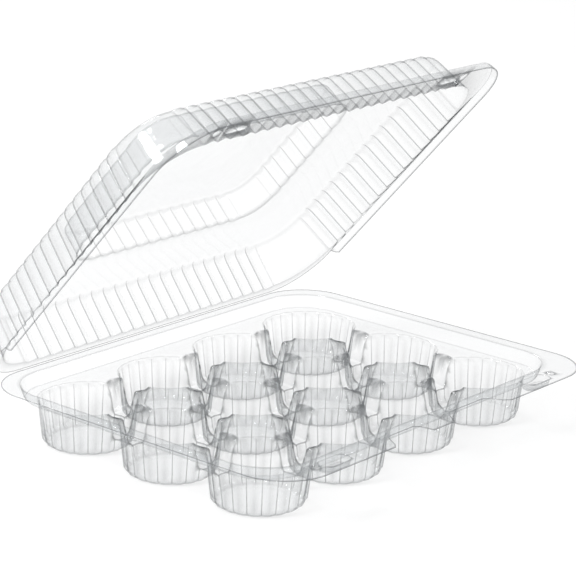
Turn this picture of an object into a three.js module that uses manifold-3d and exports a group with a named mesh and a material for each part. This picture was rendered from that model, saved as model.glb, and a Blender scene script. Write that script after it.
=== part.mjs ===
// A clear hinged box for a dozen cupcakes: a tray with fluted cups and a ribbed, two-tier lid.
// Both halves are formed from one thin sheet and fold on a crease along the back edge.
// Units are millimetres, +Z is up, +X runs along the crease and the front is at -Y.
// The origin is the middle of the open box's footprint, on the surface that the cups stand on.
import * as THREE from "three";
import { mergeVertices } from "three/addons/utils/BufferGeometryUtils.js";
import Module from "manifold-3d";

const wasm = await Module();
wasm.setup();

// Sheet and crease
const sheet = 0.5; // wall of the formed sheet
const closedGap = 0.4; // between the two flanges when the lid is shut
const creaseGap = 0.25; // from each flange's back edge to the axis of the crease
const openAngle = 48; // degrees that the lid stands open

// Cups
const cupsAlong = 4;
const cupsAcross = 3;
const cupPitch = 80;
const cupMouthRadius = 36.2;
const cupFootRadius = 32.4;
const cupDepth = 32; // from the deck to the cup's floor
const cupLip = 1.8; // height of the flared mouth
const cupLipFlare = 1.2;
const cupFootRound = 4; // radius of the turn from wall to floor
const fluteCount = 20;
const fluteDepth = 1.3;

// Saddles, the low passes between neighbouring cups
const saddleDepth = 22;
const saddleMouth = 27; // width at the deck
const saddleFloor = 7; // width at its floor

// Recess that sinks the deck below the flange
const recessDepth = 10;
const recessRun = 4.5; // how far its wall leans in
const recessCorner = 36;
const deckMarginX = 1.8; // from the end cups' mouths to the foot of the recess wall
const deckMarginY = 5.3;

// Flange of the tray
const flangeSide = 11;
const flangeBack = 9;
const flangeFront = 9;
const flangeCorner = 38;
const latchShelf = 16; // how far the two latch shelves reach past the front edge
const latchShelfStart = 52; // from the middle to where a shelf begins
const latchShelfRamp = 14; // length of the curve that leads onto it
const tabCentre = -6.5;
const tabBase = 36;
const tabTip = 23;
const tabReach = 12;
const tabLip = 2.2; // height of the turned-down edge on the tab

// Latches: a long pocket in each shelf that takes the lid's plug, with a button beside it
const latchX = 113;
const latchInset = 13; // from the shelf's front edge to the middle of the latch
const latchLength = 26;
const latchWidth = 12;
const latchPocketDepth = 5;
const latchDraft = 1;
const latchClearance = 0.5;
const latchPlugDepth = 3.6;
const buttonX = 131.5;
const buttonRadius = 2.8;
const buttonHeight = 1.6;

// Lug on the cup walls that keeps stacked trays from jamming
const lugWidth = 15;
const lugHeight = 4;
const lugReach = 1.4;
const lugDrop = 5; // from the deck to its top

// Lid rim
const skirtClearance = 1.4; // between the tray's edge and the skirt round it
const skirtDepth = 5.6;
const skirtFlare = 1.2;
const skirtStart = 45; // from the crease to where the skirt begins
const lidFlangeSide = 4;
const lidFlangeBack = 10;
const lidFlangeFront = 27;
const lidWallCorner = 37;

// Lid wall and tiers, each tier given by its inset from the wall's foot and its height
const ribsAlong = 22;
const ribsAcross = 15;
const ribDepth = 2.6;
const wallHeight = 28;
const wallLean = 5;
const shoulderHeight = 35.5;
const shoulderInset = 11;
const ribEndInset = 21;
const roofHeight = 38;
const roofInsetX = 52;
const roofInsetY = 46;
const roofCorner = 25;
const crownInsetX = 70;
const crownInsetY = 57;
const crownCorner = 20;
const crownRibsAlong = 13;
const crownRibsAcross = 8;
const crownRibDepth = 1.8;
const crownHeight = 61;
const crownLean = 1.2;
const crownEdge = 3.6; // radius of the bend between the crown's wall and its top

// Facets
const cornerSteps = 6;
const ribSteps = 3;
const fluteSteps = 2;
const endSteps = 6;

// Sizes that follow from the ones above
const cupRowX = ((cupsAlong - 1) / 2) * cupPitch;
const cupRowY = ((cupsAcross - 1) / 2) * cupPitch;
const recessHalfX = cupRowX + cupMouthRadius + deckMarginX + recessRun;
const recessHalfY = cupRowY + cupMouthRadius + deckMarginY + recessRun;
const flangeHalfX = recessHalfX + flangeSide;
const creaseY = recessHalfY + flangeBack;
const frontY = -recessHalfY - flangeFront;
const shelfY = frontY - latchShelf;
const latchY = shelfY + latchInset;
const deckZ = -recessDepth;
const floorZ = deckZ - cupDepth;
const footprintZ = floorZ - sheet;
const lidHalfX = flangeHalfX + skirtClearance + sheet;
const lidReach = creaseY - shelfY + skirtClearance + sheet;
const wallHalfX = lidHalfX - lidFlangeSide - sheet;
const wallNear = lidFlangeBack;
const wallFar = lidReach - lidFlangeFront - sheet;
const ribEndHeight = shoulderHeight + (roofHeight - shoulderHeight) * 0.3;

// Turns rings of equally many points, listed bottom to top and anticlockwise from above, into a solid.
function loft(rings) {
  const count = rings[0].length;
  const positions = rings.flat().flatMap((point) => [point.x, point.y, point.z]);
  const indices = [];
  for (let ring = 0; ring + 1 < rings.length; ring++) {
    for (let step = 0; step < count; step++) {
      const low = ring * count + step;
      const lowNext = ring * count + ((step + 1) % count);
      indices.push(low, lowNext, lowNext + count, low, lowNext + count, low + count);
    }
  }
  const bottom = rings[0].map((point) => new THREE.Vector2(point.x, point.y));
  const top = rings.at(-1).map((point) => new THREE.Vector2(point.x, point.y));
  const topStart = (rings.length - 1) * count;
  for (const [a, b, c] of THREE.ShapeUtils.triangulateShape(bottom, [])) indices.push(a, c, b);
  for (const [a, b, c] of THREE.ShapeUtils.triangulateShape(top, [])) {
    indices.push(topStart + a, topStart + b, topStart + c);
  }
  const geometry = new THREE.BufferGeometry();
  geometry.setAttribute("position", new THREE.Float32BufferAttribute(positions, 3));
  geometry.setIndex(indices);
  return geometry;
}

// Makes a closed geometry a solid that can be joined and cut.
function solid(geometry) {
  const bare = geometry.clone();
  bare.deleteAttribute("normal");
  bare.deleteAttribute("uv");
  const merged = mergeVertices(bare, 1e-4);
  return new wasm.Manifold(
    new wasm.Mesh({
      numProp: 3,
      vertProperties: new Float32Array(merged.attributes.position.array),
      triVerts: new Uint32Array(merged.index.array),
    }),
  );
}

// Joins many solids at once.
function union(solids) {
  return wasm.Manifold.union(solids);
}

// Gives a finished solid back as a geometry with flat facets.
function geometryOf(body) {
  const mesh = body.getMesh();
  const geometry = new THREE.BufferGeometry();
  geometry.setAttribute("position", new THREE.BufferAttribute(mesh.vertProperties, 3));
  geometry.setIndex(new THREE.BufferAttribute(mesh.triVerts, 1));
  const flat = geometry.toNonIndexed();
  flat.computeVertexNormals();
  return flat;
}

// A plate between two heights with the outline of a shape.
function plate(shape, bottom, top) {
  const geometry = new THREE.ExtrudeGeometry(shape, {
    depth: top - bottom,
    bevelEnabled: false,
    curveSegments: cornerSteps,
  });
  geometry.translate(0, 0, bottom);
  return geometry;
}

// A ring of a rounded rectangle from corner (-halfX, nearY) to (halfX, farY), with outward
// scallops along its straight sides: ribs.along of them on the long ones, ribs.across on the others.
function roundedRing(halfX, nearY, farY, corner, z, ribs = { along: 1, across: 1, depth: 0 }) {
  const points = [];
  const side = (start, end, outward, count) => {
    const steps = count * ribSteps;
    for (let step = 0; step < steps; step++) {
      const bulge = ribs.depth * Math.sin((Math.PI * (step % ribSteps)) / ribSteps);
      const place = start.clone().lerp(end, step / steps).addScaledVector(outward, bulge);
      points.push(new THREE.Vector3(place.x, place.y, z));
    }
  };
  const turn = (centre, from) => {
    for (let step = 0; step < cornerSteps; step++) {
      const angle = from + ((Math.PI / 2) * step) / cornerSteps;
      points.push(
        new THREE.Vector3(
          centre.x + corner * Math.cos(angle),
          centre.y + corner * Math.sin(angle),
          z,
        ),
      );
    }
  };
  const right = halfX - corner;
  const low = nearY + corner;
  const high = farY - corner;
  const v = (x, y) => new THREE.Vector2(x, y);
  side(v(-right, nearY), v(right, nearY), v(0, -1), ribs.along);
  turn(v(right, low), -Math.PI / 2);
  side(v(halfX, low), v(halfX, high), v(1, 0), ribs.across);
  turn(v(right, high), 0);
  side(v(right, farY), v(-right, farY), v(0, 1), ribs.along);
  turn(v(-right, high), Math.PI / 2);
  side(v(-halfX, high), v(-halfX, low), v(-1, 0), ribs.across);
  turn(v(-right, low), Math.PI);
  return points;
}

// A fluted ring round a cup's axis, with flutes that press in from the given radius.
function flutedRing(centre, radius, depth, z) {
  const points = [];
  const count = fluteCount * fluteSteps;
  for (let step = 0; step < count; step++) {
    const angle = (2 * Math.PI * step) / count;
    const reach = radius - (step % fluteSteps ? depth : 0);
    points.push(
      new THREE.Vector3(
        centre.x + reach * Math.cos(angle),
        centre.y + reach * Math.sin(angle),
        z,
      ),
    );
  }
  return points;
}

// A ring shaped like a running track, long in X, for a latch.
function latchRing(centre, length, width, z) {
  const points = [];
  const radius = width / 2;
  const straight = length / 2 - radius;
  for (const sign of [1, -1]) {
    for (let step = 0; step <= endSteps; step++) {
      const angle = -Math.PI / 2 + (Math.PI * step) / endSteps;
      points.push(
        new THREE.Vector3(
          centre.x + sign * (straight + radius * Math.cos(angle)),
          centre.y + sign * radius * Math.sin(angle),
          z,
        ),
      );
    }
  }
  return points;
}

// Outline of the tray's flange, with its two latch shelves at the front.
function trayOutline() {
  const shape = new THREE.Shape();
  const right = flangeHalfX - flangeCorner;
  const back = creaseY - creaseGap;
  const bend = latchShelfRamp / 2;
  shape.moveTo(-right, back);
  shape.absarc(-right, back - flangeCorner, flangeCorner, Math.PI / 2, Math.PI, false);
  shape.absarc(-right, shelfY + flangeCorner, flangeCorner, Math.PI, 1.5 * Math.PI, false);
  shape.lineTo(-latchShelfStart - latchShelfRamp, shelfY);
  shape.bezierCurveTo(
    -latchShelfStart - bend / 2, shelfY,
    -latchShelfStart - bend, frontY,
    -latchShelfStart, frontY,
  );
  shape.lineTo(latchShelfStart, frontY);
  shape.bezierCurveTo(
    latchShelfStart + bend, frontY,
    latchShelfStart + bend / 2, shelfY,
    latchShelfStart + latchShelfRamp, shelfY,
  );
  shape.lineTo(right, shelfY);
  shape.absarc(right, shelfY + flangeCorner, flangeCorner, 1.5 * Math.PI, 2 * Math.PI, false);
  shape.absarc(right, back - flangeCorner, flangeCorner, 0, Math.PI / 2, false);
  return shape;
}

// The finger tab in the middle of the front edge, with its turned-down edge.
function fingerTab() {
  const edge = [
    [tabCentre - tabBase / 2, frontY],
    [tabCentre - tabTip / 2, frontY - tabReach],
    [tabCentre + tabTip / 2, frontY - tabReach],
    [tabCentre + tabBase / 2, frontY],
  ].map(([x, y]) => new THREE.Vector2(x, y));
  const root = edge.map((point) => point.clone());
  root[0].y += flangeFront / 2;
  root[3].y += flangeFront / 2;
  const leaf = plate(new THREE.Shape([root[0], ...edge, root[3]]), -sheet, 0);
  const back = edge.map((point) => new THREE.Vector2(point.x, point.y + 2 * sheet)).reverse();
  const lip = plate(new THREE.Shape([...edge, ...back]), -tabLip, -sheet / 2);
  return [solid(leaf), solid(lip)];
}

// The long pocket of a latch, grown by the sheet for its outer skin.
function latchPocket(sign, grow, top) {
  const centre = new THREE.Vector2(sign * latchX, latchY);
  const length = latchLength + 2 * grow;
  const width = latchWidth + 2 * grow;
  const low = -latchPocketDepth - grow;
  return solid(
    loft([
      latchRing(centre, length - 2 * latchDraft, width - 2 * latchDraft, low),
      latchRing(centre, length, width, top),
    ]),
  );
}

// The domed button beside a latch, standing on a plate whose underside is at the given height.
function latchButton(x, y, radius, grow, under) {
  const reach = radius + grow;
  const top = under + buttonHeight + grow;
  const base = grow ? under + grow / 2 : under - 1;
  const profile = [
    new THREE.Vector2(0, base),
    new THREE.Vector2(reach, base),
    new THREE.Vector2(reach, under + grow),
    new THREE.Vector2(reach * 0.8, under + grow + buttonHeight * 0.65),
    new THREE.Vector2(reach * 0.4, top),
    new THREE.Vector2(0, top),
  ];
  const dome = new THREE.LatheGeometry(profile, 2 * endSteps);
  dome.rotateX(Math.PI / 2);
  dome.translate(x, y, 0);
  return solid(dome);
}

// A cup's hollow, or with grow its outer skin.
function cup(centre, grow, top) {
  const wall = cupMouthRadius - cupLipFlare + grow;
  const foot = cupFootRadius + grow;
  const low = floorZ - grow;
  const turn = cupFootRound;
  const rings = [
    flutedRing(centre, foot - turn * 0.7, fluteDepth / 2, low),
    flutedRing(centre, foot, fluteDepth, low + turn),
    flutedRing(centre, wall, fluteDepth / 2, deckZ - cupLip),
  ];
  if (grow) rings.push(flutedRing(centre, wall + cupLipFlare, 0, deckZ - sheet / 2));
  else rings.push(flutedRing(centre, wall + cupLipFlare * (1 + top / cupLip), 0, deckZ + top));
  return solid(loft(rings));
}

// A saddle's hollow between two cups, or with grow its outer skin, along X or along Y.
function saddle(centre, alongX, grow, top) {
  const floor = deckZ - saddleDepth - grow;
  const base = saddleFloor / 2 + grow;
  const spread = saddleMouth / 2 + grow - base;
  const rise = deckZ - floor;
  const half = [
    [base, floor],
    [base + spread * 0.32, floor + rise * 0.07],
    [base + spread * 0.55, floor + rise * 0.24],
    [base + spread * 0.8, floor + rise * 0.8],
    [base + spread * (1 + (0.2 * top) / rise), deckZ + top],
  ];
  const outline = half.map(([x, z]) => new THREE.Vector2(x, z));
  const mirrored = half.map(([x, z]) => new THREE.Vector2(-x, z)).reverse();
  const length = 2 * (cupPitch / 2 - cupFootRadius * 0.7);
  const channel = new THREE.ExtrudeGeometry(new THREE.Shape([...outline, ...mirrored]), {
    depth: length,
    bevelEnabled: false,
  });
  channel.translate(0, 0, -length / 2);
  channel.rotateX(Math.PI / 2);
  if (alongX) channel.rotateZ(Math.PI / 2);
  channel.translate(centre.x, centre.y, 0);
  return solid(channel);
}

// The lug that bulges out of the wall of a cup in the back row, or with grow its outer skin.
function lug(centre, grow) {
  const width = lugWidth + 2 * grow;
  const height = lugHeight + 2 * grow;
  const box = new THREE.BoxGeometry(width, 2 * (lugReach + grow), height);
  const wall = cupMouthRadius - cupLipFlare;
  box.translate(centre.x, centre.y + wall - fluteDepth, deckZ - lugDrop - lugHeight / 2);
  return solid(box);
}

function cupCentres() {
  const centres = [];
  for (let column = 0; column < cupsAlong; column++) {
    for (let row = 0; row < cupsAcross; row++) {
      centres.push(new THREE.Vector2(column * cupPitch - cupRowX, row * cupPitch - cupRowY));
    }
  }
  return centres;
}

// Every pair of neighbouring cups has a saddle half-way between them.
function saddlePlaces() {
  const places = [];
  for (const cupCentre of cupCentres()) {
    if (cupCentre.x < cupRowX) {
      places.push([new THREE.Vector2(cupCentre.x + cupPitch / 2, cupCentre.y), true]);
    }
    if (cupCentre.y < cupRowY) {
      places.push([new THREE.Vector2(cupCentre.x, cupCentre.y + cupPitch / 2), false]);
    }
  }
  return places;
}

// The recess below the flange, or with grow its outer skin.
function recess(grow, top) {
  const halfX = recessHalfX + grow;
  const halfY = recessHalfY + grow;
  const corner = recessCorner + grow;
  const slope = recessRun / recessDepth;
  return solid(
    loft([
      roundedRing(halfX - recessRun, -halfY + recessRun, halfY - recessRun, corner - recessRun, deckZ - grow),
      roundedRing(halfX + slope * top, -halfY - slope * top, halfY + slope * top, corner + slope * top, top),
    ]),
  );
}

function buildTray() {
  const above = 1; // how far the cutting solids reach past the faces that they cut
  const centres = cupCentres();
  const backRow = centres.filter((centre) => centre.y > cupRowY / 2);
  const places = saddlePlaces();
  const signs = [1, -1];
  const skins = [
    solid(plate(trayOutline(), -sheet, 0)),
    ...fingerTab(),
    recess(sheet, -sheet / 2),
    ...centres.map((centre) => cup(centre, sheet, 0)),
    ...backRow.map((centre) => lug(centre, sheet)),
    ...places.map(([centre, alongX]) => saddle(centre, alongX, sheet, -sheet / 2)),
    ...signs.map((sign) => latchPocket(sign, sheet, -sheet / 2)),
    ...signs.map((sign) => latchButton(sign * buttonX, latchY, buttonRadius, sheet, -sheet)),
  ];
  const hollows = [
    recess(0, above),
    ...centres.map((centre) => cup(centre, 0, above / 2)),
    ...backRow.map((centre) => lug(centre, 0)),
    ...places.map(([centre, alongX]) => saddle(centre, alongX, 0, above)),
    ...signs.map((sign) => latchPocket(sign, 0, above)),
    ...signs.map((sign) => latchButton(sign * buttonX, latchY, buttonRadius, 0, -sheet)),
  ];
  return geometryOf(union(skins).subtract(union(hollows)));
}

// The first tier of the lid: ribbed wall, rounded shoulder and the roof that rises gently inwards.
function lidTier(grow, bottom) {
  const ribs = (depth) => ({ along: ribsAlong, across: ribsAcross, depth });
  const ring = (inset, corner, z, depth) =>
    roundedRing(
      wallHalfX - inset + grow,
      wallNear + inset - grow,
      wallFar - inset + grow,
      corner,
      z,
      ribs(depth),
    );
  const turn = (wallLean + shoulderInset) / 2;
  return solid(
    loft([
      ring(0, lidWallCorner + grow, bottom, ribDepth),
      ring(wallLean, lidWallCorner - wallLean + grow, wallHeight + grow, ribDepth),
      ring(turn - 1, lidWallCorner - turn + 1 + grow, shoulderHeight - 1.8 + grow, ribDepth),
      ring(shoulderInset, lidWallCorner - shoulderInset + grow, shoulderHeight + grow, ribDepth * 0.6),
      ring(ribEndInset, lidWallCorner - shoulderInset + grow, ribEndHeight + grow, 0),
      roundedRing(
        wallHalfX - roofInsetX,
        wallNear + roofInsetY,
        wallFar - roofInsetY,
        roofCorner,
        roofHeight + grow,
        ribs(0),
      ),
    ]),
  );
}

// The second tier of the lid, a shorter ribbed crown with a flat top.
function lidCrown(grow, bottom) {
  const ring = (inset, corner, z, depth) =>
    roundedRing(
      wallHalfX - crownInsetX - inset + grow,
      wallNear + crownInsetY + inset - grow,
      wallFar - crownInsetY - inset + grow,
      corner + grow,
      z,
      { along: crownRibsAlong, across: crownRibsAcross, depth },
    );
  const edge = crownLean + crownEdge;
  return solid(
    loft([
      ring(0, crownCorner, bottom, crownRibDepth),
      ring(crownLean, crownCorner - crownLean, crownHeight - crownEdge + grow, crownRibDepth),
      ring(edge, crownCorner - edge, crownHeight + grow, 0),
    ]),
  );
}

// The rim of the lid: a plate round the wall's foot with a skirt that drops over the tray's edge.
function lidRim(grow, bottom, top) {
  const flare = (skirtFlare * (closedGap - bottom)) / (closedGap + skirtDepth);
  const ring = (extra, z) =>
    roundedRing(
      lidHalfX - sheet + grow + extra,
      creaseGap,
      lidReach - sheet + grow + extra,
      flangeCorner + skirtClearance + grow,
      z,
    );
  return solid(loft([ring(flare, bottom), ring(0, top)]));
}

function buildLid() {
  const above = 1;
  const under = closedGap / 2; // the flange's underside, above the axis of the crease
  const roof = under + sheet;
  const skirtLow = under - skirtDepth;
  const clear = new THREE.BoxGeometry(2 * lidHalfX + 20, 2 * skirtStart, 2 * skirtDepth);
  clear.translate(0, 0, under - skirtDepth);
  const plug = (sign, grow, top) => {
    const centre = new THREE.Vector2(sign * latchX, creaseY - latchY);
    const inset = latchClearance + sheet - grow;
    const length = latchLength - 2 * latchDraft - 2 * inset;
    const width = latchWidth - 2 * latchDraft - 2 * inset;
    return solid(
      loft([
        latchRing(centre, length - 2 * latchDraft, width - 2 * latchDraft, under - latchPlugDepth - grow),
        latchRing(centre, length, width, top),
      ]),
    );
  };
  const button = (sign, grow) =>
    latchButton(sign * buttonX, creaseY - latchY, buttonRadius + sheet + latchClearance, grow, under);
  const signs = [1, -1];
  const skins = union([
    lidRim(sheet, skirtLow, roof).subtract(lidRim(0, skirtLow - above, under)).subtract(solid(clear)),
    lidTier(sheet, under),
    lidCrown(sheet, roofHeight - sheet),
    ...signs.map((sign) => plug(sign, sheet, under + sheet / 2)),
    ...signs.map((sign) => button(sign, sheet)),
  ]);
  const hollows = union([
    lidTier(0, under - above),
    lidCrown(0, roofHeight - 2 * sheet),
    ...signs.map((sign) => plug(sign, 0, roof + above)),
    ...signs.map((sign) => button(sign, 0)),
  ]);
  return geometryOf(skins.subtract(hollows));
}

const clearSheet = new THREE.MeshStandardMaterial({
  name: "clear_sheet",
  color: 0xf2f5f6,
  roughness: 0.08,
  metalness: 0,
  transparent: true,
  opacity: 0.25,
});

const box = new THREE.Group();
box.name = "cupcake_box";

const tray = new THREE.Mesh(buildTray(), clearSheet);
tray.name = "base_tray";
box.add(tray);

// The lid is modelled shut with its front at +Y, turned to face the tray's front, then opened.
const lid = new THREE.Mesh(buildLid(), clearSheet);
lid.name = "lid";
lid.position.set(0, creaseY, closedGap / 2);
lid.rotation.set(THREE.MathUtils.degToRad(-openAngle), 0, Math.PI);
box.add(lid);

// Stands the box on its cup floors, with the middle of its footprint at the origin.
const bounds = new THREE.Box3().setFromObject(box, true);
const model = new THREE.Group();
box.position.set(0, -(bounds.min.y + bounds.max.y) / 2, -footprintZ);
model.add(box);

export default model;
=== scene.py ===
import math

import bmesh
import bpy
from mathutils import Matrix, Vector


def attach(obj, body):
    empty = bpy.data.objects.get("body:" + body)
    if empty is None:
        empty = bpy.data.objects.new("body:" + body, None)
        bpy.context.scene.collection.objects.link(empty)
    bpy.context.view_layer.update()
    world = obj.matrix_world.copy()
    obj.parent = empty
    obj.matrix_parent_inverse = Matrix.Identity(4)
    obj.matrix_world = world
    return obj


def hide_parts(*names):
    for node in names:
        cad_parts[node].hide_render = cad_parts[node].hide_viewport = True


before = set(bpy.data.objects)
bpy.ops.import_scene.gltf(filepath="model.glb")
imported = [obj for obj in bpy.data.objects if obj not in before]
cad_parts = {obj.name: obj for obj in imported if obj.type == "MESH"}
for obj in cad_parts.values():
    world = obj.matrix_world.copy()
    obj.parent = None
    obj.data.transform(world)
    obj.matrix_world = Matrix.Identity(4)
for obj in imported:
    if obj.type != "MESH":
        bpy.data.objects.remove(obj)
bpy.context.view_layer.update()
scene = bpy.context.scene
scene.view_settings.view_transform = "Standard"
# A look through the whole box passes many clear walls.
scene.cycles.transparent_max_bounces = 64


# Camera: it stands in front of the box and to its left, a little above the open tray, and is
# rolled by a degree and a half.
camera_turn = math.radians(-49.78)
camera_lift = math.radians(16.77)
camera_roll = math.radians(1.62)
camera_place = (-1.20906, -1.02141, 0.58166)
camera_lens = 145.72

back = Vector((
    math.sin(camera_turn) * math.cos(camera_lift),
    -math.cos(camera_turn) * math.cos(camera_lift),
    math.sin(camera_lift),
))
level_right = Vector((math.cos(camera_turn), math.sin(camera_turn), 0))
right = level_right * math.cos(camera_roll) + back.cross(level_right) * math.sin(camera_roll)
upward = back.cross(right)
camera = bpy.data.objects.new("camera", bpy.data.cameras.new("camera"))
scene.collection.objects.link(camera)
camera.data.lens = camera_lens
camera.data.sensor_width = 36
facing = Matrix((right, upward, back)).transposed().to_4x4()
camera.matrix_world = Matrix.Translation(camera_place) @ facing
scene.camera = camera


# Clear formed sheet. A wall seen square on hides almost nothing. Where it turns edge on, or is
# folded sharply, it mirrors more, and a flat dark grey is mixed in there: painted shade that
# stands in for the refraction which draws the bends of clear plastic as grey lines.
# Forming leaves faint ripples in the gloss, drawn out downwards in the cups and ribs.
clear_tint = (0.992, 0.994, 0.995, 1)
# Painted shade: the flat dark grey that draws the sheet's edges and bends as lines.
painted_bend_shade_grey = (0.13, 0.14, 0.148, 1)
mirror_tint = (0.9, 0.91, 0.92, 1)
ripples_per_metre = 170
ripple_stretch = 0.22
ripple_height = 0.0006


class Wire:
    """A socket of a material's nodes. Sums on it add Math nodes, and node() adds any other."""

    def __init__(self, tree, socket=None):
        self.tree = tree
        self.socket = socket

    def node(self, kind, settings, values, result=0):
        """Adds a node, makes its settings, then gives its sockets their values or links."""
        made = self.tree.nodes.new("ShaderNode" + kind)
        for name, setting in settings.items():
            setattr(made, name, setting)
        for name, value in values.items():
            if isinstance(value, Wire):
                self.tree.links.new(value.socket, made.inputs[name])
            else:
                made.inputs[name].default_value = value
        return Wire(self.tree, made.outputs[result] if made.outputs else None)

    def math(self, operation, first, second):
        return self.node("Math", {"operation": operation}, {0: first, 1: second})

    def __add__(self, other):
        return self.math("ADD", self, other)

    def __radd__(self, other):
        return self.math("ADD", other, self)

    def __mul__(self, other):
        return self.math("MULTIPLY", self, other)

    def __rmul__(self, other):
        return self.math("MULTIPLY", other, self)

    def __pow__(self, other):
        return self.math("POWER", self, other)

    def clamp(self):
        return self.math("MAXIMUM", self.math("MINIMUM", self, 1.0), 0.0)


clear = bpy.data.materials.new("clear_sheet")
clear.use_nodes = True
clear.node_tree.nodes.clear()
plastic = Wire(clear.node_tree)
place = plastic.node("TexCoord", {}, {}, result="Object")
drawn = plastic.node("Mapping", {}, {"Vector": place, "Scale": (1, 1, ripple_stretch)})
ripple = plastic.node("TexNoise", {}, {"Vector": drawn, "Scale": ripples_per_metre, "Detail": 1.5})
relief = plastic.node("Bump", {}, {"Strength": 0.25, "Distance": ripple_height, "Height": ripple})
edge = plastic.node("LayerWeight", {}, {"Blend": 0.5, "Normal": relief}, result="Facing")
bend = plastic.node("Attribute", {"attribute_name": "bend"}, {}, result="Fac")
through = plastic.node("BsdfTransparent", {}, {"Color": clear_tint})
painted_bend_shade = plastic.node(
    "BsdfPrincipled", {}, {"Base Color": painted_bend_shade_grey, "Roughness": 0.5, "Specular IOR Level": 0}
)
gloss = plastic.node(
    "BsdfPrincipled",
    {},
    {"Base Color": mirror_tint, "Metallic": 1, "Roughness": 0.06 * ripple + 0.05, "Normal": relief},
)
# Painted shade: the share of flat dark grey, which rises where the sheet turns edge on and along its
# sharp bends.
painted_shade_share = (0.85 * edge**11 + 0.022 * edge**2 + 0.5 * bend**1.4 + 0.01).clamp()
mirrored = (0.1 * edge**4 + 0.022).clamp()
body = plastic.node("MixShader", {}, {0: painted_shade_share, 1: through, 2: painted_bend_shade})
surface = plastic.node("MixShader", {}, {0: mirrored, 1: body, 2: gloss})
plastic.node("OutputMaterial", {}, {"Surface": surface})


# Tray: one clear sheet, formed over a mould into twelve fluted cups that run into each other
# through U-shaped saddles. A deck joins the cups, sunk below a flange with two latch shelves and
# a finger tab. Sizes are in millimetres, with z from the top of the flange.
sheet_wall = 0.5
flange_top = 42.5
frame_shift_y = 0.06
cup_pitch = 80
columns = [cup_pitch * (step - 1.5) for step in range(4)]
rows = [cup_pitch * (step - 1) for step in range(3)]
deck_z = -10
cup_floor_z = -42
foot_radius = 32.4
foot_rounding = 5.5
foot_turn = 1.571
wall_flare = 2.6
wall_rise = 24.7
wall_bands = 7
flutes = 20
floor_flute = 0.7
foot_flute = 1.9
mouth_flute = 1.0
flute_steps = (0, 0.25, 0.44, 0.5, 0.56, 0.75)
saddle_drop = 22
saddle_starts = 12
saddle_reach = 20
saddle_blur = 0.7
saddle_ease = 2.0
saddle_side = ((3.5, 0), (6.7, 0.07), (9.0, 0.24), (11.5, 0.8), (13.5, 1))
saddle_spill = 0.11
above_all = 10
merge_distance = 0.00002
deck_half_x = 158
deck_half_y = 121.5
deck_corner = 31.5
post_shoulder = 1.2
recess = (
    (0.6, -9.87), (1.15, -9.3), (1.8, -8.2), (2.7, -5.8),
    (3.6, -2.6), (4.05, -1.2), (4.5, -0.35), (5.2, 0),
)
flange_half_x = 173.5
flange_back = 134.75
flange_corner = 38
front_middle = -135
shelf_reach = 16
shelf_starts = 52
shelf_ease = 14
tab_x = -6.5
tab_half = 18.2
tab_ease = 6.5
tab_reach = 12
tab_starts = 14
tab_droop = 1.6
edge_droop = 0.12

spokes = [math.radians(360 / flutes) * (flute + step) for flute in range(flutes) for step in flute_steps]
spokes_per_quarter = len(spokes) // 4
corner_spoke = spokes_per_quarter // 2


def tray_point(x, y, z):
    return Vector((x, y + frame_shift_y, z + flange_top)) / 1000


def blend_low(a, b, softness):
    """The lower of two heights, with the bend between them eased."""
    return min(a, b) - max(softness - abs(a - b), 0) ** 2 / (4 * softness)


def saddle_rise(side):
    """How far a saddle has climbed towards the deck, at a distance from its middle line."""
    if side <= saddle_side[0][0]:
        return 0
    for (x0, r0), (x1, r1) in zip(saddle_side, saddle_side[1:]):
        if side <= x1:
            return r0 + (r1 - r0) * (side - x0) / (x1 - x0)
    return 1 + (side - saddle_side[-1][0]) * saddle_spill


def saddle_height(u, v, ways):
    """Height of the saddles round a cup at (u, v) from its axis; ways says which sides have one."""
    height = above_all
    for (dx, dy), there in ways.items():
        forward = u * dx + v * dy
        side = abs(u * dy) + abs(v * dx)
        if there and forward > saddle_starts and side < saddle_reach:
            nearby = (side - saddle_blur, side, side + saddle_blur)
            rise = sum(saddle_rise(place) for place in nearby) / 3
            height = min(height, deck_z - saddle_drop + saddle_drop * rise)
    return height


def inside_rounded(x, y, half_x, low, high, corner):
    cx = max(abs(x) - (half_x - corner), 0)
    cy = max(y - (high - corner), (low + corner) - y, 0)
    return cx * cx + cy * cy <= corner * corner and abs(x) <= half_x and low <= y <= high


def inside_deck(x, y):
    return inside_rounded(x, y, deck_half_x, -deck_half_y, deck_half_y, deck_corner)


def inside_flange(x, y):
    """The flange's outline. Its front edge steps out into the latch shelves and the finger tab."""
    ease = min(max((abs(x) - shelf_starts) / shelf_ease, 0), 1)
    front = front_middle - shelf_reach * ease * ease * (3 - 2 * ease)
    tab = min(max((tab_half - abs(x - tab_x)) / tab_ease, 0), 1)
    if y < front - tab_reach * tab:
        return False
    # Away from the corners, the front edge alone decides.
    if y < front + 20 and abs(x) < 100:
        return True
    front_edge = front_middle - shelf_reach
    return inside_rounded(x, y, flange_half_x, front_edge, flange_back, flange_corner)


def reach_edge(x, y, dx, dy, inside, far):
    """How far an outline lies from a point inside it, along a direction."""
    near = 0.0
    for _ in range(26):
        middle = (near + far) / 2
        if inside(x + dx * middle, y + dy * middle):
            near = middle
        else:
            far = middle
    return near


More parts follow.
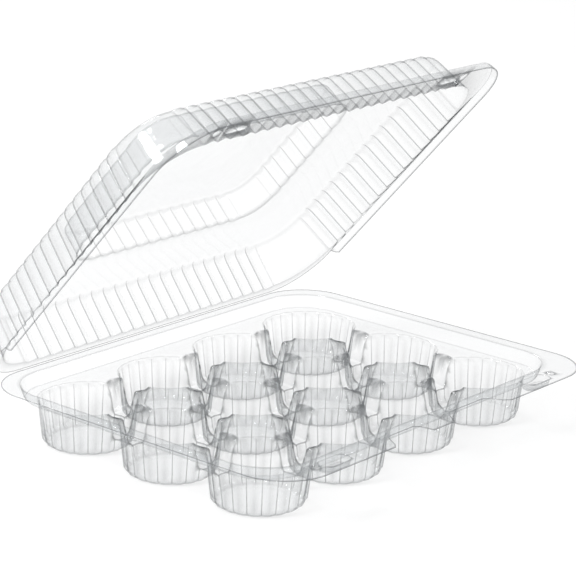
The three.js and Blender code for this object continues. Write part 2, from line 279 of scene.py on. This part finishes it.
# A cup's profile from the middle of its floor: radius, height and depth of the flutes.
floor_rings = [(13, cup_floor_z, 0), (22, cup_floor_z, 0.1)]
foot_rings = [
    (
        foot_radius - foot_rounding * (1 - math.sin(t)),
        cup_floor_z + foot_rounding * (1 - math.cos(t)),
        floor_flute + (foot_flute - floor_flute) * t / foot_turn,
    )
    for t in (0.0, 0.4, 0.8, 1.2, foot_turn)
]
wall_rings = [
    (
        foot_radius + wall_flare * step / wall_bands,
        cup_floor_z + foot_rounding + wall_rise * step / wall_bands,
        foot_flute + (mouth_flute - foot_flute) * step / wall_bands,
    )
    for step in range(1, wall_bands + 1)
]
mouth_rings = [(35.25, -11.0, 0.7), (35.7, -10.35, 0.3), (36.4, -10.06, 0), (37.1, deck_z, 0)]
profile = floor_rings + foot_rings + wall_rings + mouth_rings
mouth_radius = profile[-1][0]


def cell_edge(cx, cy, spoke, ways):
    """Where a spoke from a cup's axis meets the edge of the cup's own square of deck."""
    def inside_cell(x, y):
        if ways[(1, 0)] and x > cx + cup_pitch / 2 or ways[(-1, 0)] and x < cx - cup_pitch / 2:
            return False
        if ways[(0, 1)] and y > cy + cup_pitch / 2 or ways[(0, -1)] and y < cy - cup_pitch / 2:
            return False
        return inside_deck(x, y)

    dx, dy = math.cos(spokes[spoke]), math.sin(spokes[spoke])
    side_x, side_y = math.copysign(1, dx), math.copysign(1, dy)
    from_corner = spoke % spokes_per_quarter - corner_spoke
    if abs(from_corner) > 1 or not (ways[(side_x, 0)] or ways[(0, side_y)]):
        span = reach_edge(cx, cy, dx, dy, inside_cell, 90)
        return span * dx, span * dy
    # The spokes nearest a corner go to it exactly, so that the squares share their corners.
    u = cup_pitch / 2 if ways[(side_x, 0)] else deck_half_x - columns[-1]
    v = cup_pitch / 2 if ways[(0, side_y)] else deck_half_y - rows[-1]
    if from_corner and abs(dx) > abs(dy):
        v -= post_shoulder
    elif from_corner:
        u -= post_shoulder
    return side_x * u, side_y * v


def add_cup(sheet, cx, cy):
    """One cup with its square of deck, from the middle of its floor outwards."""
    ways = {
        (1, 0): cx < columns[-1],
        (-1, 0): cx > columns[0],
        (0, 1): cy < rows[-1],
        (0, -1): cy > rows[0],
    }
    rings = []
    for radius, height, flute in profile:
        ring = []
        for angle in spokes:
            reach = radius - flute * (1 - abs(math.cos(flutes / 2 * angle)))
            u, v = reach * math.cos(angle), reach * math.sin(angle)
            level = blend_low(height, saddle_height(u, v, ways), saddle_ease)
            ring.append(sheet.verts.new(tray_point(cx + u, cy + v, level)))
        rings.append(ring)
    edges = [cell_edge(cx, cy, spoke, ways) for spoke in range(len(spokes))]
    for share in (0.34, 0.67, 1.0):
        ring = []
        for angle, (u1, v1) in zip(spokes, edges):
            u0, v0 = mouth_radius * math.cos(angle), mouth_radius * math.sin(angle)
            u, v = u0 + (u1 - u0) * share, v0 + (v1 - v0) * share
            level = blend_low(deck_z, saddle_height(u, v, ways), saddle_ease)
            ring.append(sheet.verts.new(tray_point(cx + u, cy + v, level)))
        rings.append(ring)
    sheet.faces.new(rings[0])
    for inner, outer in zip(rings, rings[1:]):
        widen(sheet, inner, outer)


def widen(sheet, inner, outer):
    """Faces that look up, from a ring to the one outside it."""
    for k in range(len(inner)):
        after = (k + 1) % len(inner)
        sheet.faces.new((inner[k], outer[k], outer[after], inner[after]))


def deck_boundary(sheet):
    """The points round the deck's edge, anticlockwise."""
    start = next(edge for edge in sheet.edges if edge.is_boundary)
    loop = [start.verts[0]]
    ahead = start.verts[1]
    while ahead is not loop[0] and len(loop) < len(sheet.verts):
        loop.append(ahead)
        ahead = next(
            edge.other_vert(ahead)
            for edge in ahead.link_edges
            if edge.is_boundary and edge.other_vert(ahead) is not loop[-2]
        )
    area = sum(p.co.x * q.co.y - q.co.x * p.co.y for p, q in zip(loop, loop[1:] + loop[:1]))
    return loop if area > 0 else loop[::-1]


def new_piece(name, sheet):
    mesh = bpy.data.meshes.new(name)
    sheet.to_mesh(mesh)
    sheet.free()
    piece = bpy.data.objects.new(name, mesh)
    scene.collection.objects.link(piece)
    return piece


def select_only(piece):
    bpy.ops.object.select_all(action="DESELECT")
    bpy.context.view_layer.objects.active = piece
    piece.select_set(True)


def apply_modifiers(piece):
    select_only(piece)
    for name in [modifier.name for modifier in piece.modifiers]:
        bpy.ops.object.modifier_apply(modifier=name)


def give_wall(piece):
    """Turns a skin without thickness into a sheet, whose new side is the one behind its faces."""
    wall = piece.modifiers.new("wall", "SOLIDIFY")
    wall.thickness = sheet_wall / 1000
    wall.offset = -1
    apply_modifiers(piece)


def mark_bends(piece):
    """Notes how sharply the sheet turns at each point; the material paints dark grey shade along the
    sharp bends.
    """
    least, most = 0.2, 1.1
    shape = bmesh.new()
    shape.from_mesh(piece.data)
    turns = [max((e.calc_face_angle(0) for e in v.link_edges), default=0) for v in shape.verts]
    shape.free()
    note = piece.data.attributes.new("bend", "FLOAT", "POINT")
    for item, turn in zip(note.data, turns):
        item.value = min(max((turn - least) / (most - least), 0), 1)


sheet = bmesh.new()
for cup_x in columns:
    for cup_y in rows:
        add_cup(sheet, cup_x, cup_y)
bmesh.ops.remove_doubles(sheet, verts=sheet.verts, dist=merge_distance)

# The recess wall and the flange carry on outwards from the deck's edge.
previous = deck_boundary(sheet)
recess_width = recess[-1][0]
outward = []
for vert in previous:
    x, y = vert.co.x * 1000, vert.co.y * 1000 - frame_shift_y
    straight_x, straight_y = deck_half_x - deck_corner, deck_half_y - deck_corner
    nx = x - max(min(x, straight_x), -straight_x)
    ny = y - max(min(y, straight_y), -straight_y)
    size = math.hypot(nx, ny)
    nx, ny = nx / size, ny / size
    outward.append((x, y, nx, ny, reach_edge(x, y, nx, ny, inside_flange, 60)))


def flange_step(x, y, span, share):
    """Distance from the deck's edge and height, at a share of the way across the flange."""
    offset = recess_width + (span - recess_width) * share
    on_tab = abs(x - tab_x) < tab_half and y < 0
    droop = max((offset - tab_starts) / tab_reach, 0) if on_tab else 0
    return offset, -tab_droop * droop * droop - (edge_droop if share == 1 else 0)


for offset, height in recess:
    ring = [
        sheet.verts.new(tray_point(x + nx * offset, y + ny * offset, height))
        for x, y, nx, ny, span in outward
    ]
    widen(sheet, previous, ring)
    previous = ring
for share in (0.2, 0.4, 0.6, 0.8, 0.93, 1.0):
    ring = []
    for x, y, nx, ny, span in outward:
        offset, height = flange_step(x, y, span, share)
        ring.append(sheet.verts.new(tray_point(x + nx * offset, y + ny * offset, height)))
    widen(sheet, previous, ring)
    previous = ring
tray = new_piece("tray", sheet)
give_wall(tray)

# Latches of the tray: in each shelf the sheet is drawn down into a long pocket with round ends,
# which takes the lid's plug, and up into a round button beside it.
latch_x = 113
button_x = 131.5
tray_latch_y = -138
pocket_depth = 5
tray_button_radius = 2.8
button_rise = 1.6
dome_turns = (0.0, 0.35, 0.7, 1.05, 1.35)
dome_fullness = 0.7
not_quite_round = 0.02
left_and_right = (1, -1)


def track(x, y, z, length, width):
    """A level loop shaped like a running track, long in X."""
    radius, straight = width / 2, (length - width) / 2
    loop = []
    for sign in (1, -1):
        for step in range(17):
            angle = math.pi * (step / 16 - 0.5)
            dx, dy = straight + radius * math.cos(angle), radius * math.sin(angle)
            loop.append((x + sign * dx, y + sign * dy, z))
    return loop


def raise_ring(sheet, lower, upper):
    """Faces that look outwards, from a ring to the one above it."""
    for k in range(len(lower)):
        after = (k + 1) % len(lower)
        sheet.faces.new((lower[k], lower[after], upper[after], upper[k]))


def closed_stack(stacks, place):
    """One mesh of closed lumps, each a stack of loops from the bottom up."""
    lump = bmesh.new()
    for stack in stacks:
        loops = [[lump.verts.new(place(*point)) for point in loop] for loop in stack]
        lump.faces.new(loops[0][::-1])
        lump.faces.new(loops[-1])
        for lower, upper in zip(loops, loops[1:]):
            raise_ring(lump, lower, upper)
    bmesh.ops.recalc_face_normals(lump, faces=lump.faces)
    return new_piece("lump", lump)


def combine(piece, skins, hollows):
    """Joins the outer skins to a formed sheet, then takes out the hollows inside them."""
    for operand, action in ((skins, "UNION"), (hollows, "DIFFERENCE")):
        cut = piece.modifiers.new("cut", "BOOLEAN")
        cut.object = operand
        cut.operation = action
        cut.solver = "MANIFOLD"
        apply_modifiers(piece)
        bpy.data.objects.remove(operand)


def drawn_pocket(x, y, grow, steps):
    """A pocket's hollow, or with grow its outer skin, from steps of height, length and width."""
    return [track(x, y, z, length + 2 * grow, width + 2 * grow) for z, length, width in steps]


def tray_pocket(x, grow, top):
    low = -pocket_depth - grow
    steps = [(low, 22.4, 8.4), (low + 0.25, 23.4, 9.4), (low + 0.9, 24.1, 10.1), (-0.9, 25.3, 11.3)]
    if grow:
        steps.append((top, 26, 12))
    else:
        steps += [(-0.3, 26, 12), (top, 27.6, 13.6)]
    return drawn_pocket(x, tray_latch_y, grow, steps)


def button(x, y, radius, grow, under):
    """A button's hollow, or with grow its outer skin; under is the sheet's lower side there."""
    base = under + grow / 2 if grow else under - 1
    wide = radius + grow
    stack = [track(x, y, base, 2 * wide + not_quite_round, 2 * wide)]
    for t in dome_turns:
        wide = (radius + grow) * math.cos(t) ** dome_fullness
        height = under + grow + button_rise * math.sin(t) / math.sin(dome_turns[-1])
        stack.append(track(x, y, height, 2 * wide + not_quite_round, 2 * wide))
    return stack


def tray_latches(grow, top):
    pockets = [tray_pocket(side * latch_x, grow, top) for side in left_and_right]
    buttons = [
        button(side * button_x, tray_latch_y, tray_button_radius, grow, -sheet_wall)
        for side in left_and_right
    ]
    return closed_stack(pockets + buttons, tray_point)


# The skins end inside the flange's sheet, and the hollows cut up through its top.
combine(tray, tray_latches(sheet_wall, -0.25), tray_latches(0, 0.6))
mark_bends(tray)
tray.data.materials.clear()
tray.data.materials.append(clear)
select_only(tray)
bpy.ops.object.shade_smooth_by_angle(angle=math.radians(50))
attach(tray, "tray")
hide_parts("base_tray")


# Lid: the other half of the sheet, beyond the crease. A ribbed wall turns over a rounded
# shoulder into a low roof, and a ribbed crown rises from the roof. A skirt round the rim slips
# over the tray. It is laid out shut, with y forwards from the crease, and then turned open.
open_angle = math.radians(48)
crease_y = 135 + frame_shift_y
crease_z = flange_top + 0.2
rib_steps = (0, 0.045, 0.15, 0.32, 0.5, 0.68, 0.85, 0.955)
corner_steps = 18
wall_ribs = (22, 15)
crown_ribs = (13, 8)
flange_under = 0.7
skirt_starts = 44
skirt_ease = 5
shoulder_height = 36.75
roof_height = 38.5

# Rings of the rim: how far the skirt stands out and hangs down, and the flat rim's inset.
rim_steps = (
    (1.2, 6.1, 0), (0.95, 4.6, 0.3), (0.6, 2.9, 0.6), (0.25, 1.2, 0.9),
    (0.08, 0.6, 1.2), (-0.2, 0.15, 1.5), (-0.7, 0, 1.8),
)
# Rings of the wall and of the crown: inset, height and depth of the ribs.
wall_steps = (
    (-0.8, 0.7, 2.6), (-0.3, 0.95, 2.6), (0.1, 1.7, 2.6), (0.9, 6, 2.6), (1.8, 11, 2.6),
    (2.7, 16, 2.6), (3.6, 21, 2.6), (4.4, 25.5, 2.6), (5, 28.5, 2.6), (5.5, 31, 2.6),
    (6.3, 33, 2.6), (7.5, 34.6, 2.4), (9.1, 35.6, 2.1), (11, 36.1, 1.6), (13.5, 36.35, 1.0),
    (16.5, 36.52, 0.5), (19, 36.65, 0.15), (21, shoulder_height, 0),
)
crown_steps = (
    (-8, roof_height, 0), (-2.4, 38.55, 1.2), (-1.0, 38.9, 1.8), (-0.3, 39.9, 1.8), (0, 42, 1.8),
    (0.3, 46, 1.8), (0.6, 50, 1.8), (0.9, 54, 1.8), (1.2, 57.9, 1.7), (1.55, 59.3, 1.5),
    (2.3, 60.5, 1.1), (3.4, 61.2, 0.6), (4.8, 61.5, 0.15), (8, 61.5, 0), (16, 61.5, 0),
)


def lid_point(x, y, z):
    """From the shut lid, with y measured forwards from the crease, to the open one."""
    across = crease_y - y * math.cos(open_angle) + z * math.sin(open_angle)
    up = crease_z + y * math.sin(open_angle) + z * math.cos(open_angle)
    return Vector((-x, across, up)) / 1000


def lid_ring(half_x, near, far, corner, ribs):
    """Points round a rounded rectangle, each with its outward normal and its place on a rib."""
    ring = []
    right, low, high = half_x - corner, near + corner, far - corner
    along, across = ribs
    straights = (
        ((-right, near), (right, near), (0, -1), along, (right, low), -0.5),
        ((half_x, low), (half_x, high), (1, 0), across, (right, high), 0),
        ((right, far), (-right, far), (0, 1), along, (-right, high), 0.5),
        ((-half_x, high), (-half_x, low), (-1, 0), across, (-right, low), 1),
    )
    for (x0, y0), (x1, y1), (nx, ny), count, centre, turn in straights:
        for rib in range(count):
            for step in rib_steps:
                t = (rib + step) / count
                ring.append((x0 + (x1 - x0) * t, y0 + (y1 - y0) * t, nx, ny, math.sin(math.pi * step)))
        for step in range(corner_steps):
            angle = math.pi * (turn + step / (2 * corner_steps))
            dx, dy = math.cos(angle), math.sin(angle)
            ring.append((centre[0] + corner * dx, centre[1] + corner * dy, dx, dy, 0))
    return ring


def ribbed(base, inset, height, rib):
    """A ring set in from its base, with its ribs standing out again."""
    return [
        (x - nx * (inset - rib * bulge), y - ny * (inset - rib * bulge), height)
        for x, y, nx, ny, bulge in base
    ]


def rim_ring(base, spread_out, drop, inset):
    """A ring of the rim: skirt at the front and sides, flat flange near the crease."""
    ring = []
    for x, y, nx, ny, bulge in base:
        share = min(max((y - skirt_starts) / skirt_ease, 0), 1)
        share = share * share * (3 - 2 * share)
        out = spread_out * share - inset * (1 - share)
        ring.append((x + nx * out, y + ny * out, flange_under - drop * share))
    return ring


# Each outline's half width, the places of its back and front edges, its corner radius and ribs.
rim_outline = lid_ring(175.4, 0.25, 287.9, 39.9, wall_ribs)
wall_outline = lid_ring(171.4, 9.5, 260.9, 37.5, wall_ribs)
roof_outline = lid_ring(118.9, 56, 214.4, 25, wall_ribs)
crown_outline = lid_ring(101.4, 66.5, 203.9, 20.5, crown_ribs)
rings = [rim_ring(rim_outline, *step) for step in rim_steps]
rings += [ribbed(wall_outline, *step) for step in wall_steps]
shoulder = rings[-1]
for share in (0.2, 0.4, 0.6, 0.8, 1.0):
    rings.append([
        (
            p[0] + (q[0] - p[0]) * share,
            p[1] + (q[1] - p[1]) * share,
            shoulder_height + (roof_height - shoulder_height) * share,
        )
        for p, q in zip(shoulder, roof_outline)
    ])
rings += [ribbed(crown_outline, *step) for step in crown_steps]

sheet = bmesh.new()
grid = [[sheet.verts.new(lid_point(*point)) for point in ring] for ring in rings]
for lower, upper in zip(grid, grid[1:]):
    if len(upper) == len(lower):
        raise_ring(sheet, lower, upper)
    else:
        # The crown has fewer ribs than the wall, so its first ring has fewer points.
        loops = []
        for ring in (lower, upper):
            for ends in zip(ring[-1:] + ring[:-1], ring):
                loops.append(sheet.edges.get(ends) or sheet.edges.new(ends))
        bmesh.ops.bridge_loops(sheet, edges=loops)
sheet.faces.new(grid[-1])
bmesh.ops.recalc_face_normals(sheet, faces=sheet.faces)
lid = new_piece("lid_shell", sheet)
give_wall(lid)

# Latches of the lid: the flange is drawn down into two plugs that snap into the tray's pockets,
# and up into two buttons that fit over the tray's.
lid_latch_y = 273
plug_depth = 3.4
lid_button_radius = 3.8


def lid_plug(x, grow, top):
    low = -plug_depth - grow
    steps = [(low, 19.2, 5.2), (low + 0.25, 19.9, 5.9), (low + 0.9, 20.4, 6.4), (top, 22, 8)]
    return drawn_pocket(x, lid_latch_y, grow, steps)


def lid_latches(grow, top):
    plugs = [lid_plug(side * latch_x, grow, top) for side in left_and_right]
    buttons = [
        button(side * button_x, lid_latch_y, lid_button_radius, grow, flange_under - sheet_wall)
        for side in left_and_right
    ]
    return closed_stack(plugs + buttons, lid_point)


combine(lid, lid_latches(sheet_wall, 0.45), lid_latches(0, 1.7))
mark_bends(lid)
lid.data.materials.clear()
lid.data.materials.append(clear)
select_only(lid)
bpy.ops.object.shade_smooth_by_angle(angle=math.radians(50))
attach(lid, "lid")
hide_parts("lid")


# Floor and surround: a wide pale sheet of paper under the box and a white room round it. Both
# show as white, also in the gloss and through the clear sheet, and the paper keeps the shadow.
floor_size = 12
paper_grey = (0.55, 0.55, 0.55, 1)
white = (1, 1, 1, 1)
paper_glow = 0.46
room_light = 0.4


def seen_by_lens(nodes):
    """1 for what the lens sees, directly, mirrored or through clear plastic, and otherwise 0."""
    direct = nodes.node("LightPath", {}, {}, result="Is Camera Ray")
    mirrored = nodes.node("LightPath", {}, {}, result="Is Glossy Ray")
    beyond = nodes.node("LightPath", {}, {}, result="Is Transmission Ray")
    return (direct + mirrored + beyond).clamp()


bpy.ops.object.select_all(action="DESELECT")
bpy.ops.mesh.primitive_plane_add(size=floor_size, location=(0, 0, 0))
floor = bpy.context.object
floor.name = "floor"
paper = bpy.data.materials.new("floor_paper")
paper.use_nodes = True
paper.node_tree.nodes.clear()
pulp = Wire(paper.node_tree)
matt = pulp.node("BsdfDiffuse", {}, {"Color": paper_grey})
glow = pulp.node("Emission", {}, {"Color": white, "Strength": seen_by_lens(pulp) * paper_glow})
lit_paper = pulp.node("AddShader", {}, {0: matt, 1: glow})
pulp.node("OutputMaterial", {}, {"Surface": lit_paper})
floor.data.materials.append(paper)

room = bpy.data.worlds.new("studio")
scene.world = room
room.use_nodes = True
room.node_tree.nodes.clear()
air = Wire(room.node_tree)
strength = seen_by_lens(air) * (1 - room_light) + room_light
backdrop = air.node("Background", {}, {"Color": white, "Strength": strength})
air.node("OutputWorld", {}, {"Surface": backdrop})


# Lamps: three large soft discs that face the box. The key lamp is above it on the left, the
# fill is in front on the right, and the third lights it from behind.
lamps = {
    "key": ((-2.6, 0.7, 3.2), 1.3, 105),
    "fill": ((2.4, -2.8, 2.8), 2.2, 45),
    "rim": ((1.5, 3.2, 2.4), 1.2, 45),
}
box_middle = Vector((0, 0, 0.08))
for name, (place, size, power) in lamps.items():
    light = bpy.data.lights.new(name, "AREA")
    light.shape = "DISK"
    light.size = size
    light.energy = power
    lamp = bpy.data.objects.new(name, light)
    scene.collection.objects.link(lamp)
    lamp.location = place
    lamp.rotation_euler = (box_middle - Vector(place)).to_track_quat("-Z", "Y").to_euler()
